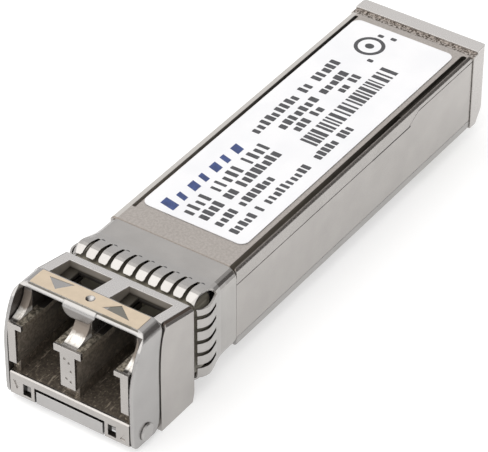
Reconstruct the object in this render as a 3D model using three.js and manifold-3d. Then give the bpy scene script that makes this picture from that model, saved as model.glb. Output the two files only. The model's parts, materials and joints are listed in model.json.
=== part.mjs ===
import * as THREE from 'three';
import Module from 'manifold-3d';
import { mergeVertices } from 'three/addons/utils/BufferGeometryUtils.js';
import { ConvexGeometry } from 'three/addons/geometries/ConvexGeometry.js';

// Pluggable duplex-LC optical transceiver. Millimetres. +X right seen from the front, +Y to the rear, +Z up.
// Sections below are written with y = 0 on the front sill face; Y_DATUM moves the origin to the belly.
const Y_DATUM = 30.0;

// overall
const LEN = 57.0;
const BODY_HALF = 6.7;
const DECK_Z = 8.45;
const CAP_Y = 54.6;
const CAP_HALF = 6.8;
const NOSE_REAR = 8.72;
const NOSE_HALF = 6.85;
const NOSE_TOP = 9.7;
const NOSE_BOTTOM = -1.5;
const BAND_REAR = 15.28;
const BODY_FRONT = 15.33;

// LC ports
const PITCH = 6.25;
const PORT_IN = 0.76;
const PORT_OUT = 5.5;
const PORT_FLOOR = 1.65;
const SHELF_Z0 = 6.35;
const SHELF_Z1 = 7.05;
const SHELF_IN = 1.41;
const SHELF_OUT = 4.85;
const POST_Z0 = 2.78;
const ROOF_Z0 = 8.2;
const ROOF_FRONT = 2.5;
const ROOF_HALF = 6.42;
const ROOF_WIDE_Y = 4.62;
const ROOF_FLAT_Y = 4.87;
const ROOF_SLOPE = 0.225;
const LEDGE_Z0 = 7.8;
const KEYWAY_HALF = 1.33;
const AXIS_Z = 4.0;
const PORT_REAR = 9.3;
const WALL_FRONT_HALF = 6.28;
const CHEEK_FRONT = 3.92;
const CHEEK_IN = 6.0;
const CHEEK_BEVEL = 0.38;

// parting edge between the castings
const SEAM_LOW = 6.81;
const SEAM_HIGH = 7.75;
const SEAM_Y0 = 43.2;
const SEAM_Y1 = 44.9;
const SEAM_GAP = 0.08;

// bottom cover
const SHEET = 0.3;
const FLANGE_Z = 0.9;
const BELLY_REAR = 46.1;

// collar
const COLLAR_T = 0.2;
const COLLAR_FRONT = 9.4;
const FINGER_PITCH = 1.31;
const SIDE_PITCH = 1.35;
const SLOT_W = 0.4;
const SLOT_REAR = 11.85;

// bail and latch
const BAIL_T = 0.35;
const BAIL_HALF = 6.73;
const BAIL_TOP = 10.16;
const DIMPLE_Y = 3.45;
const DIMPLE_RIM = 0.43;
const DIMPLE_DEPTH = 0.25;
const COAT_HALF = 5.62;
const COAT_Y0 = 2.42;
const COAT_Y1 = 4.33;
const PIVOT_Y = 1.85;
const PIVOT_Z = -0.05;
const LEVER_Y = 5.6;
const LEVER_Z = 0.0;

// board
const PCB_Z0 = 2.25;
const PCB_Z1 = 3.25;
const PCB_END = 53.3;

const wasm = await Module();
wasm.setup();

const group = new THREE.Group();
group.name = 'optical_transceiver';

const MATS = {
  zinc: [0xb9b5b1, 0.38, 0.9],
  sheet: [0xb4b1ad, 0.34, 0.95],
  spring: [0xc6c2bd, 0.22, 1.0],
  coat: [0xd6c4ab, 0.55, 0.0],
  steel: [0x9d9b98, 0.3, 1.0],
  label: [0xf3f3f5, 0.6, 0.0],
  board: [0x1f5a38, 0.5, 0.0],
  gold: [0xd9b25a, 0.25, 1.0],
  chip: [0x24252a, 0.55, 0.0],
  ceramic: [0xeeeae0, 0.35, 0.0],
  tan: [0xb08d5e, 0.6, 0.0],
  flex: [0xc27a28, 0.45, 0.0],
  pad: [0x8fa3b5, 0.8, 0.0],
  clamp: [0x3a3a3d, 0.6, 0.0],
};

function solid(geo) {
  const g = geo.clone();
  g.deleteAttribute('normal');
  g.deleteAttribute('uv');
  const m = mergeVertices(g, 1e-5);
  const idx = m.index ? m.index.array : [...Array(m.attributes.position.count).keys()];
  const mesh = new wasm.Mesh({
    numProp: 3,
    vertProperties: new Float32Array(m.attributes.position.array),
    triVerts: new Uint32Array(idx),
  });
  return new wasm.Manifold(mesh);
}

function fromSolid(man) {
  const mesh = man.getMesh();
  const g = new THREE.BufferGeometry();
  g.setAttribute('position', new THREE.BufferAttribute(new Float32Array(mesh.vertProperties), 3));
  g.setIndex(new THREE.BufferAttribute(new Uint32Array(mesh.triVerts), 1));
  return g;
}

function union(geos) {
  let out = solid(geos[0]);
  for (let i = 1; i < geos.length; i++) out = out.add(solid(geos[i]));
  return out;
}

function carve(base, geos) {
  let out = base;
  for (const g of geos) out = out.subtract(solid(g));
  return out;
}

function box(x0, x1, y0, y1, z0, z1) {
  const g = new THREE.BoxGeometry(x1 - x0, y1 - y0, z1 - z0);
  g.translate((x0 + x1) / 2, (y0 + y1) / 2, (z0 + z1) / 2);
  return g;
}

function toShape(pts) {
  const s = new THREE.Shape();
  s.moveTo(pts[0][0], pts[0][1]);
  for (let i = 1; i < pts.length; i++) s.lineTo(pts[i][0], pts[i][1]);
  s.closePath();
  return s;
}

// section given in (y, z), swept along x
function prismX(pts, x0, x1) {
  const g = new THREE.ExtrudeGeometry(toShape(pts), { depth: x1 - x0, bevelEnabled: false });
  g.applyMatrix4(new THREE.Matrix4().set(0, 0, 1, x0, 1, 0, 0, 0, 0, 1, 0, 0, 0, 0, 0, 1));
  return g;
}

// section given in (x, z), swept along y
function prismY(pts, y0, y1) {
  const g = new THREE.ExtrudeGeometry(toShape(pts), { depth: y1 - y0, bevelEnabled: false });
  g.applyMatrix4(new THREE.Matrix4().set(1, 0, 0, 0, 0, 0, -1, y1, 0, 1, 0, 0, 0, 0, 0, 1));
  return g;
}

// section given in (x, y), swept along z
function prismZ(pts, z0, z1) {
  const g = new THREE.ExtrudeGeometry(toShape(pts), { depth: z1 - z0, bevelEnabled: false });
  g.translate(0, 0, z0);
  return g;
}

function cylX(r, x0, x1, y, z, seg = 32) {
  const g = new THREE.CylinderGeometry(r, r, x1 - x0, seg);
  g.rotateZ(Math.PI / 2);
  g.translate((x0 + x1) / 2, y, z);
  return g;
}

function cylY(r, y0, y1, x, z, seg = 32) {
  const g = new THREE.CylinderGeometry(r, r, y1 - y0, seg);
  g.translate(x, (y0 + y1) / 2, z);
  return g;
}

function cylZ(r, z0, z1, x, y, seg = 32) {
  const g = new THREE.CylinderGeometry(r, r, z1 - z0, seg);
  g.rotateX(Math.PI / 2);
  g.translate(x, y, (z0 + z1) / 2);
  return g;
}

function arc(cx, cy, r, a0, a1, n) {
  const pts = [];
  for (let i = 0; i <= n; i++) {
    const a = ((a0 + ((a1 - a0) * i) / n) * Math.PI) / 180;
    pts.push([cx + r * Math.cos(a), cy + r * Math.sin(a)]);
  }
  return pts;
}

// rounded rectangle outline, radii per corner: lower left, lower right, upper right, upper left
function roundRect(x0, x1, y0, y1, r, n = 6) {
  const [a, b, c, d] = Array.isArray(r) ? r : [r, r, r, r];
  return [
    ...arc(x0 + a, y0 + a, a, 180, 270, n),
    ...arc(x1 - b, y0 + b, b, 270, 360, n),
    ...arc(x1 - c, y1 - c, c, 0, 90, n),
    ...arc(x0 + d, y1 - d, d, 90, 180, n),
  ];
}

// plain rectangle with only its two upper, or two lower, corners rounded
function tabUp(x0, x1, y0, y1, r, n = 6) {
  return [[x0, y0], [x1, y0], ...arc(x1 - r, y1 - r, r, 0, 90, n), ...arc(x0 + r, y1 - r, r, 90, 180, n)];
}

function tabDown(x0, x1, y0, y1, r, n = 6) {
  return [[x1, y1], [x0, y1], ...arc(x0 + r, y0 + r, r, 180, 270, n), ...arc(x1 - r, y0 + r, r, 270, 360, n)];
}

function add(name, geo, mat) {
  const g = geo.isBufferGeometry ? geo : fromSolid(geo);
  g.translate(0, -Y_DATUM, 0);
  const [color, roughness, metalness] = MATS[mat];
  const mesh = new THREE.Mesh(g, new THREE.MeshStandardMaterial({ color, roughness, metalness }));
  mesh.name = name;
  group.add(mesh);
}

const span = (s, a, b) => (s > 0 ? [a, b] : [-b, -a]);
const sbox = (s, a, b, y0, y1, z0, z1) => box(...span(s, a, b), y0, y1, z0, z1);

// height of the nose roof, flat under the bail and falling gently towards the collar
const roofAt = (y) => NOSE_TOP - ROOF_SLOPE * Math.max(0, y - ROOF_FLAT_Y);

// upper casting: receptacle roof and posts, label deck, rear cap
function topCasting() {
  const lid = [];
  lid.push(box(-CHEEK_IN + 0.05, CHEEK_IN - 0.05, ROOF_FRONT, NOSE_REAR, LEDGE_Z0, NOSE_TOP));
  lid.push(box(-WALL_FRONT_HALF, WALL_FRONT_HALF, ROOF_FRONT, ROOF_WIDE_Y + 0.1, ROOF_Z0, NOSE_TOP));
  lid.push(box(-ROOF_HALF, ROOF_HALF, ROOF_WIDE_Y, NOSE_REAR, ROOF_Z0 + 0.02, NOSE_TOP));
  lid.push(box(-PORT_IN, PORT_IN, 0, 8.0, POST_Z0, NOSE_TOP));
  lid.push(box(-PORT_IN, PORT_IN, 7.9, PORT_REAR + 0.8, POST_Z0, ROOF_Z0));
  lid.push(box(-SHELF_IN, SHELF_IN, 0, PORT_REAR, SHELF_Z0, SHELF_Z1));
  for (const s of [1, -1]) {
    lid.push(sbox(s, PORT_OUT, WALL_FRONT_HALF, 0, CHEEK_FRONT - 0.05, POST_Z0, NOSE_TOP));
    lid.push(sbox(s, PORT_OUT, CHEEK_IN - 0.05, CHEEK_FRONT - 0.1, PORT_REAR + 0.8, POST_Z0, ROOF_Z0));
    lid.push(sbox(s, SHELF_OUT, PORT_OUT, 0, PORT_REAR, SHELF_Z0 + 0.2, SHELF_Z1));
  }
  // rear wall of the ports and the neck under the collar
  lid.push(box(-CHEEK_IN + 0.05, CHEEK_IN - 0.05, PORT_REAR, PORT_REAR + 0.8, POST_Z0, 8.2));
  const neck = tabUp(-WALL_FRONT_HALF, WALL_FRONT_HALF, SEAM_LOW + SEAM_GAP / 2, 8.22, 0.65);
  lid.push(prismY(neck, NOSE_REAR - 0.02, BODY_FRONT + 0.1));
  // lid over the board
  const zs = SEAM_LOW + SEAM_GAP / 2;
  const zh = SEAM_HIGH + SEAM_GAP / 2;
  const side = [[BODY_FRONT, zs], [SEAM_Y0, zs], [SEAM_Y1, zh], [CAP_Y + 0.1, zh],
    [CAP_Y + 0.1, DECK_Z], [BODY_FRONT + 0.12, DECK_Z], [BODY_FRONT, DECK_Z - 0.12]];
  lid.push(prismX(side, -BODY_HALF, BODY_HALF));
  // shoulder block over the edge connector and the rear cap
  lid.push(box(-5.6, 5.6, 50.0, CAP_Y + 0.1, 5.25, 8.0));
  const c = 1.4;
  const cap = [[CAP_Y, 0], [LEN - c, 0], [LEN, 2.1], [LEN, DECK_Z - 0.15], [LEN - 0.15, DECK_Z],
    [CAP_Y, DECK_Z]];
  const plan = [[-CAP_HALF, CAP_Y], [CAP_HALF, CAP_Y], ...arc(CAP_HALF - 0.6, LEN - 0.6, 0.6, 0, 90, 8),
    ...arc(-CAP_HALF + 0.6, LEN - 0.6, 0.6, 90, 180, 8)];
  const capBody = solid(prismX(cap, -8, 8)).intersect(solid(prismZ(plan, -1, 9)));
  const cut = [];
  // concave ramps over the posts
  const ramp = [[-1, SHELF_Z1], [0.3, SHELF_Z1], ...arc(0.25, 9.3, 2.25, 271, 354, 10), [ROOF_FRONT, 11],
    [-1, 11]];
  cut.push(prismX(ramp, -7, 7));
  // latch windows in the roof, with a keyway through each window's floor
  for (const s of [1, -1]) {
    cut.push(sbox(s, 0.86, 5.43, 4.1, 7.78, ROOF_Z0, NOSE_TOP + 1));
    const keyway = [PITCH / 2 - KEYWAY_HALF, PITCH / 2 + KEYWAY_HALF];
    cut.push(sbox(s, ...keyway, 2, 7.78, LEDGE_Z0 - 0.1, ROOF_Z0 + 0.1));
    cut.push(sbox(s, 0.86, 5.43, 2, 4.2, SHELF_Z1 + 0.1, NOSE_TOP - 0.35));
  }
  // ejector pits on the face of the centre post
  for (const [x, z] of [[-0.3, 5.85], [0.15, 5.55], [0.35, 4.7], [-0.15, 3.75], [0.3, 3.55]]) {
    cut.push(cylY(0.13, -0.1, 0.12, x, z, 12));
  }
  // fibre bores through the rear wall, and the hollow under the lid
  for (const s of [1, -1]) {
    cut.push(cylY(1.6, PORT_REAR - 0.1, PORT_REAR + 0.9, (s * PITCH) / 2, AXIS_Z, 40));
  }
  cut.push(box(-5.6, 5.6, PORT_REAR + 0.8, 49.9, 5.3, 7.6));
  // open rear end
  cut.push(box(-6.0, 6.0, CAP_Y - 1, LEN + 1, -1, 5.25));
  // side slots beside the deck: the left one is narrower, so its rail is wide
  for (const [s, mid, w, y0, floor] of [[1, 6.17, 0.28, 15.0, 7.2], [-1, -5.86, 0.18, 17.6, 7.8]]) {
    const p = (from, to) => [...arc(mid, to - w, w, 0, 180, 8), [mid - w, from], [mid + w, from]];
    cut.push(prismZ(p(y0, 43.0), floor, 9));
    cut.push(prismZ(p(42.0, 54.0), 7.98, 9));
    // outer top edge of the thin side wall
    const edge = [[s * 6.47, 8.46], [s * 6.71, 8.2], [s * 6.9, 8.6]];
    cut.push(prismY(s > 0 ? edge : edge.reverse(), 15.0, 54.3));
  }
  // cross groove in front of the rear cap
  cut.push(prismX([[54.28, 9], [54.34, DECK_Z - 0.24], [55.3, DECK_Z - 0.24], [55.4, 9]], -7, 7));
  // roof corners under the bail's bends, and the roof's fall towards the collar
  for (const s of [1, -1]) {
    const corner = [[s * 5.7, 9.75], [s * 6.33, 9.12], [s * 6.5, 9.9]];
    cut.push(prismY(s > 0 ? corner : corner.reverse(), -1, ROOF_WIDE_Y));
  }
  cut.push(prismX([[ROOF_FLAT_Y, NOSE_TOP], [9.5, roofAt(9.5)], [9.5, 11], [ROOF_FLAT_Y, 11]], -7, 7));
  add('top_casting', carve(union(lid).add(capBody), cut), 'zinc');
}

// lower casting: cheeks, port floor, sill, latch channel, body walls
function baseCasting() {
  const b = [];
  const cheek = [[CHEEK_FRONT, NOSE_BOTTOM], [NOSE_REAR - 0.25, NOSE_BOTTOM], [NOSE_REAR, -0.6],
    [NOSE_REAR, roofAt(NOSE_REAR)], [5.1, roofAt(5.1)], [4.82, 9.5], [4.6, 9.2], [4.4, 8.8], [4.22, 8.2],
    [4.06, 7.3], [3.96, 6.2], [CHEEK_FRONT, 5.0]];
  b.push(prismX(cheek, -NOSE_HALF, NOSE_HALF));
  const back = CHEEK_FRONT + 0.1;
  const front = [[0, -0.7], [1.8, NOSE_BOTTOM], [back, NOSE_BOTTOM], [back, PORT_FLOOR], [0.12, PORT_FLOOR],
    [0, PORT_FLOOR - 0.12]];
  b.push(prismX(front, -WALL_FRONT_HALF, WALL_FRONT_HALF));
  b.push(box(-WALL_FRONT_HALF, WALL_FRONT_HALF, 0.6, CHEEK_FRONT + 0.1, PORT_FLOOR - 0.2, POST_Z0 - 0.03));
  // neck under the collar
  b.push(prismY(tabDown(-6.28, 6.28, 0.3, SEAM_LOW - SEAM_GAP / 2, 0.65), NOSE_REAR - 0.1, BODY_FRONT + 0.2));
  // body with stepped upper edge
  const zs = SEAM_LOW - SEAM_GAP / 2;
  const zh = SEAM_HIGH - SEAM_GAP / 2;
  const side = [[BODY_FRONT, FLANGE_Z + 0.03], [CAP_Y - 0.04, FLANGE_Z + 0.03], [CAP_Y - 0.04, zh],
    [SEAM_Y1, zh], [SEAM_Y0, zs], [BODY_FRONT, zs]];
  b.push(prismX(side, -BODY_HALF, BODY_HALF));
  b.push(box(-6.36, 6.36, BODY_FRONT, CAP_Y - 0.04, SHEET + 0.03, FLANGE_Z + 0.1));
  let m = union(b);
  const cut = [];
  // room for the upper casting between the cheeks
  cut.push(box(-CHEEK_IN, CHEEK_IN, -1, NOSE_REAR + 0.02, POST_Z0 - 0.03, 10));
  cut.push(box(-6.35, 6.35, NOSE_REAR - 0.05, NOSE_REAR + 0.02, SEAM_LOW - SEAM_GAP / 2, 10));
  cut.push(box(-CHEEK_IN, CHEEK_IN, NOSE_REAR - 0.1, PORT_REAR + 0.82, POST_Z0 - 0.03, 10));
  // rabbet for the roof's overhanging edge, and the bevel along the top of each cheek
  cut.push(box(-ROOF_HALF - 0.05, ROOF_HALF + 0.05, -1, NOSE_REAR + 0.02, ROOF_Z0 - 0.03, 11));
  for (const s of [1, -1]) {
    const bevel = [];
    for (const y of [ROOF_FLAT_Y - 1, 9]) {
      const z = roofAt(ROOF_FLAT_Y) - ROOF_SLOPE * (y - ROOF_FLAT_Y);
      bevel.push(new THREE.Vector3(s * (NOSE_HALF - CHEEK_BEVEL - 0.1), y, z + 0.1));
      bevel.push(new THREE.Vector3(s * (NOSE_HALF + 0.1), y, z - CHEEK_BEVEL - 0.1));
      bevel.push(new THREE.Vector3(s * (NOSE_HALF + 0.5), y, z + 1));
    }
    cut.push(new ConvexGeometry(bevel));
  }
  // the two ports down to the floor
  for (const s of [1, -1]) {
    cut.push(sbox(s, PORT_IN, PORT_OUT, -1, PORT_REAR, PORT_FLOOR, POST_Z0 + 0.1));
    cut.push(cylY(1.6, PORT_REAR - 0.1, PORT_REAR + 0.9, (s * PITCH) / 2, AXIS_Z, 40));
  }
  // optics bay and board bay
  cut.push(box(-5.65, 5.65, PORT_REAR + 0.8, 15.0, 1.85, 10));
  cut.push(box(-5.9, 5.9, 14.9, 47.0, 1.25, 10));
  cut.push(box(-6.05, 6.05, BELLY_REAR, LEN, -1, 10));
  // latch channel, open below
  cut.push(box(-5.25, 5.25, 0.6, 3.4, -3, 0.86));
  cut.push(box(-3.72, 3.72, -1, 0.9, -3, 0.9));
  cut.push(box(-3.3, 3.3, 3.3, 14.5, -3, 0.86));
  cut.push(box(-3.3, 3.3, NOSE_REAR - 0.4, 14.5, -3, 1.5));
  // square windows in the sill
  for (const s of [1, -1]) {
    cut.push(sbox(s, 4.05, 4.92, -1, 0.7, -0.42, 0.8));
    // bail pivot bores and lever pin bores
    cut.push(cylX(0.55, ...span(s, 5.0, 7.2), PIVOT_Y, PIVOT_Z, 28));
    cut.push(cylX(0.47, ...span(s, 3.0, 4.3), LEVER_Y, LEVER_Z, 24));
  }
  // engraved direction triangles on the sill
  cut.push(prismY([[-6.0, 0.9], [-5.6, -0.1], [-5.2, 0.7]], -0.1, 0.1));
  cut.push(prismY([[5.3, -0.25], [5.9, -0.3], [5.75, 0.4]], -0.1, 0.1));
  m = carve(m, cut);
  // board ledges
  const ribs = [];
  for (const s of [1, -1]) {
    for (const y of [20.5, 31.0, 40.5]) ribs.push(sbox(s, 5.0, 6.0, y, y + 2.2, 1.2, PCB_Z0 - 0.03));
  }
  for (const r of ribs) m = m.add(solid(r));
  add('base_casting', m, 'zinc');
}

// stamped tray under the body
function bottomCover() {
  const parts = [];
  parts.push(box(-BODY_HALF, BODY_HALF, BODY_FRONT + 0.02, BELLY_REAR, 0, SHEET));
  for (const s of [1, -1]) {
    parts.push(sbox(s, BODY_HALF - SHEET, BODY_HALF, BODY_FRONT + 0.02, CAP_Y - 0.06, 0, FLANGE_Z));
  }
  let m = union(parts);
  const cut = [];
  for (const s of [1, -1]) {
    const tri = [[s * 6.5, -0.01], [s * 6.71, -0.01], [s * 6.71, 0.2]];
    cut.push(prismY(s > 0 ? tri : tri.reverse(), 15, 55));
    // locking slots pressed through the tray
    cut.push(prismZ(roundRect(...span(s, 4.3, 4.8), 24, 27, 0.24, 4), -1, 1));
    cut.push(prismZ(roundRect(...span(s, 4.3, 4.8), 37, 40, 0.24, 4), -1, 1));
  }
  m = carve(m, cut);
  add('bottom_cover', m, 'sheet');
}

// collar outline grown outward by n at station y; t selects the inner skin
function collarRing(n, inset) {
  const hx = 6.6 + n - inset;
  const z0 = 0.1 - n + inset;
  const z1 = 8.4 + n - inset;
  const r = Math.max(0.25, 0.92 + n * 0.6 - inset);
  return roundRect(-hx, hx, z0, z1, r, 5);
}

function loft(stations, inset) {
  const rings = stations.map(([y, n]) => collarRing(n, inset).map(([x, z]) => [x, y, z]));
  const k = rings[0].length;
  const pos = [];
  const idx = [];
  for (const r of rings) for (const p of r) pos.push(...p);
  for (let i = 0; i + 1 < rings.length; i++) {
    for (let j = 0; j < k; j++) {
      const a = i * k + j;
      const b = i * k + ((j + 1) % k);
      idx.push(a, a + k, b, b, a + k, b + k);
    }
  }
  const first = pos.length / 3;
  pos.push(0, stations[0][0], 4.25);
  const last = pos.length / 3;
  pos.push(0, stations[stations.length - 1][0], 4.25);
  const base = (rings.length - 1) * k;
  for (let j = 0; j < k; j++) {
    const n = (j + 1) % k;
    idx.push(first, j, n);
    idx.push(last, base + n, base + j);
  }
  const g = new THREE.BufferGeometry();
  g.setAttribute('position', new THREE.BufferAttribute(new Float32Array(pos), 3));
  g.setIndex(idx);
  return g;
}

// spring-finger collar
function emiCollar() {
  const st = [[COLLAR_FRONT, 0.12], [9.75, 0.42], [10.15, 0.6], [10.5, 0.66], [10.9, 0.62], [11.4, 0.5],
    [12.1, 0.3], [12.9, 0.14], [13.8, 0.1], [BAND_REAR, 0.1]];
  const outer = solid(loft(st, 0));
  const reach = st.map(([y, n], i) => [i === 0 ? y - 0.1 : i === st.length - 1 ? y + 0.1 : y, n]);
  const inner = solid(loft(reach, COLLAR_T));
  let m = outer.subtract(inner);
  const cut = [];
  const half = SLOT_W / 2;
  // each slot flares at the finger tips and closes in a narrow round end
  const flare = half + 0.12;
  const neck = COLLAR_FRONT + 0.16;
  const slot = (x) => prismZ([[x + flare, 9], [x + flare, COLLAR_FRONT], [x + half, neck],
    ...arc(x, SLOT_REAR - 0.14, 0.14, 0, 180, 6), [x - half, neck], [x - flare, COLLAR_FRONT],
    [x - flare, 9]], 6, 12);
  for (let i = -4; i <= 4; i++) cut.push(slot(i * FINGER_PITCH));
  for (const i of [-4, -3, 3, 4]) {
    const g = slot(i * FINGER_PITCH);
    g.translate(0, 0, -9);
    cut.push(g);
  }
  for (const s of [1, -1]) {
    for (let i = 0; i < 5; i++) {
      const z = 1.76 + i * SIDE_PITCH;
      cut.push(sbox(s, 5.8, 8.5, 9, SLOT_REAR, z - SLOT_W / 2, z + SLOT_W / 2));
    }
    // corners stay open between the top, side and bottom fingers
    cut.push(sbox(s, 6.36, 8.5, 9, 11.7, 7.98, 9.8));
    cut.push(cylZ(0.5, 7.98, 9.8, s * 6.86, 11.7, 16));
    cut.push(sbox(s, 6.1, 8.5, 9, 11.7, -1.5, 0.5));
  }
  cut.push(box(-3.55, 3.55, 9, 16, -2, 1));
  m = carve(m, cut);
  add('emi_collar', m, 'spring');
}

// side outline of the bail in (y, z)
function bailOutline() {
  const front = [[0.55, -1.06], [0.22, -0.85], [0.06, -0.4], [0.02, 0.4], [0, 4.6], [0.06, 5.6], [0.22, 6.5],
    [0.48, 7.4], [0.8, 8.2], [1.2, 8.9], [1.6, 9.4], [2.02, 9.8], [2.35, 10.0], [2.35, 10.6]];
  const rear = [[4.45, 10.6], [4.45, 9.95], [4.42, 9.5], [4.3, 8.9], [4.12, 8.2], [3.95, 7.3], [3.86, 6.2],
    [3.82, 5.0], [3.84, 2.6], [3.84, 0.9], [3.78, 0.1], [3.66, -0.5], [3.3, -1.0], [3.0, -1.12]];
  return [...rear.reverse(), ...front.reverse()];
}

function bail() {
  const x = BAIL_HALF;
  const t = BAIL_T;
  const r = 1.15;
  const bend = BAIL_TOP - r;
  const ring = [[-x, -3], ...arc(-x + r, bend, r, 180, 90, 8), ...arc(x - r, bend, r, 90, 0, 8), [x, -3],
    [x - t, -3], ...arc(x - r, bend, r - t, 0, 90, 8), ...arc(-x + r, bend, r - t, 90, 180, 8), [-x + t, -3]];
  const sheet = solid(prismY(ring.reverse(), -1, 6));
  let m = sheet.intersect(solid(prismX(bailOutline(), -8, 8)));
  // centre tab folded down at the front edge
  const tab = [[2.75, BAIL_TOP], ...arc(2.6, BAIL_TOP - 0.68, 0.68, 90, 180, 6), [1.92, 8.62], [2.27, 8.62],
    ...arc(2.6, BAIL_TOP - 0.68, 0.33, 180, 90, 6), [2.75, BAIL_TOP - t]];
  const face = [[1.5, 9.6], [1.5, 10.4], [-1.85, 10.4], ...arc(-0.85, 9.72, 1.0, 180, 262, 8), [0.75, 8.78],
    [1.02, 8.92]];
  const flap = solid(prismX(tab.reverse(), -3, 3)).intersect(solid(prismY(face.reverse(), 1, 3)));
  m = m.add(flap);
  const cut = [];
  for (const s of [1, -1]) cut.push(cylX(0.55, ...span(s, 6, 7.2), PIVOT_Y, PIVOT_Z, 28));
  const bowl = (DIMPLE_RIM ** 2 + DIMPLE_DEPTH ** 2) / (2 * DIMPLE_DEPTH);
  const dimple = new THREE.SphereGeometry(bowl, 32, 20);
  dimple.translate(0, DIMPLE_Y, BAIL_TOP + bowl - DIMPLE_DEPTH);
  cut.push(dimple);
  m = carve(m, cut);
  add('bail', m, 'sheet');
}

function bailCoat() {
  const s = toShape(roundRect(-COAT_HALF, COAT_HALF, COAT_Y0, COAT_Y1, 0.12, 3));
  const at = (a, b) => [COAT_HALF * (2 * a - 1), COAT_Y0 + b * (COAT_Y1 - COAT_Y0)];
  const marks = [
    [[0.09, 0.78], [0.313, 0.885], [0.216, 0.19]],
    [[0.632, 0.352], [0.744, 0.912], [0.891, 0.263]],
  ];
  for (const tri of marks) {
    const h = new THREE.Path();
    h.moveTo(...at(...tri[0]));
    h.lineTo(...at(...tri[1]));
    h.lineTo(...at(...tri[2]));
    h.closePath();
    s.holes.push(h);
  }
  const ring = new THREE.Path();
  ring.absarc(0, DIMPLE_Y, DIMPLE_RIM, 0, Math.PI * 2, true);
  s.holes.push(ring);
  const g = new THREE.ExtrudeGeometry(s, { depth: 0.03, bevelEnabled: false, curveSegments: 24 });
  g.translate(0, 0, BAIL_TOP + 0.005);
  add('bail_colour_coat', g, 'coat');
}

// pivot pin: domed head outside, shank through the arm and cheek, cam lobe inside the window
function pivotPins() {
  for (const s of [1, -1]) {
    const prof = [[0, 4.3], [0.5, 4.3], [0.5, BAIL_HALF + 0.02], [0.84, BAIL_HALF + 0.02],
      [0.84, BAIL_HALF + 0.12], [0.76, BAIL_HALF + 0.22], [0, BAIL_HALF + 0.24]];
    const g = new THREE.LatheGeometry(prof.map(([r, h]) => new THREE.Vector2(r, h)), 32);
    g.rotateZ(-Math.PI / 2);
    if (s < 0) g.rotateZ(Math.PI);
    g.translate(0, PIVOT_Y, PIVOT_Z);
    const lobe = cylX(0.3, ...span(s, 4.3, 4.85), PIVOT_Y - 0.54, PIVOT_Z, 20);
    const web = box(...span(s, 4.3, 4.85), PIVOT_Y - 0.54, PIVOT_Y, PIVOT_Z - 0.3, PIVOT_Z + 0.3);
    add(s > 0 ? 'pivot_pin_right' : 'pivot_pin_left', union([g, lobe, web]), 'steel');
  }
}

function latch() {
  const prof = [[0, -0.7], [0.1, -0.78], [0.5, -0.78], [0.7, -0.55], [8.3, -0.55], [9.3, 0.08], [11.5, 0.08],
    [11.5, -0.45], [11.75, -0.45], [14.1, 0.1], [14.1, 0.62], [9.2, 0.62], [8.2, 0.45], [0.62, 0.45],
    [0.5, 0.58], [0, 0.58]];
  const m0 = solid(prismX(prof, -3.5, 3.5));
  // waist: plate full width, arm narrower, catch boss a triangle in plan
  const keep = union([box(-3.5, 3.5, -1, 0.55, -2, 2), box(-3.05, 3.05, 0.5, 9.5, -2, 2),
    box(-2.6, 2.6, 9.4, 14.2, -2, 2)]);
  let m = m0.intersect(keep);
  const cut = [];
  cut.push(cylX(0.5, -4, 4, LEVER_Y, LEVER_Z, 28));
  for (const s of [1, -1]) {
    const wedge = s > 0 ? [[1.3, 11.4], [3, 11.4], [3, 14.2], [0.25, 14.2]] : [[-1.3, 11.4], [-0.25, 14.2],
      [-3, 14.2], [-3, 11.4]];
    cut.push(prismZ(wedge, -2, 0.1));
  }
  m = carve(m, cut);
  const ears = [];
  for (const s of [1, -1]) {
    ears.push(sbox(s, 2.9, 4.85, 1.3, 2.6, -1.02, -0.7));
    ears.push(sbox(s, 2.5, 3.05, 1.3, 2.6, -1.02, -0.4));
  }
  for (const e of ears) m = m.add(solid(e));
  add('latch_lever', m, 'steel');
  add('lever_pin', cylX(0.44, -4.2, 4.2, LEVER_Y, LEVER_Z, 28), 'steel');
  // leaf spring: a bowed strip between the lever and the channel roof
  const top = [];
  const bot = [];
  for (let i = 0; i <= 14; i++) {
    const u = i / 14;
    const y = 9.6 + u * 4.0;
    const z = 0.72 + 0.6 * Math.sin(Math.PI * u) ** 1;
    top.push([y, z + 0.12]);
    bot.push([y, z]);
  }
  add('latch_spring', prismX([...bot, ...top.reverse()], -1.1, 1.1), 'spring');
}

function label() {
  add('label', prismZ(roundRect(-5.6, 5.38, 18.35, 53.45, 0.8, 6), DECK_Z + 0.02, DECK_Z + 0.09), 'label');
}

// circuit board and its edge contacts
function board() {
  const o = [[-5.55, 18.6], [5.55, 18.6], [5.55, 44.6], [4.6, 45.5], [4.6, 53.0], [4.3, PCB_END],
    [-4.3, PCB_END], [-4.6, 53.0], [-4.6, 45.5], [-5.55, 44.6]];
  add('circuit_board', prismZ(o, PCB_Z0, PCB_Z1), 'board');
  for (let i = 0; i < 10; i++) {
    const x = (i - 4.5) * 0.8;
    const back = i === 0 || i === 9 || i === 4 ? 53.1 : 52.6;
    const n = String(i + 1).padStart(2, '0');
    add(`contact_top_${n}`, box(x - 0.27, x + 0.27, 48.4, back, PCB_Z1 + 0.005, PCB_Z1 + 0.045), 'gold');
    add(`contact_bottom_${n}`, box(x - 0.27, x + 0.27, 48.4, back, PCB_Z0 - 0.045, PCB_Z0 - 0.005), 'gold');
  }
}

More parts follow.
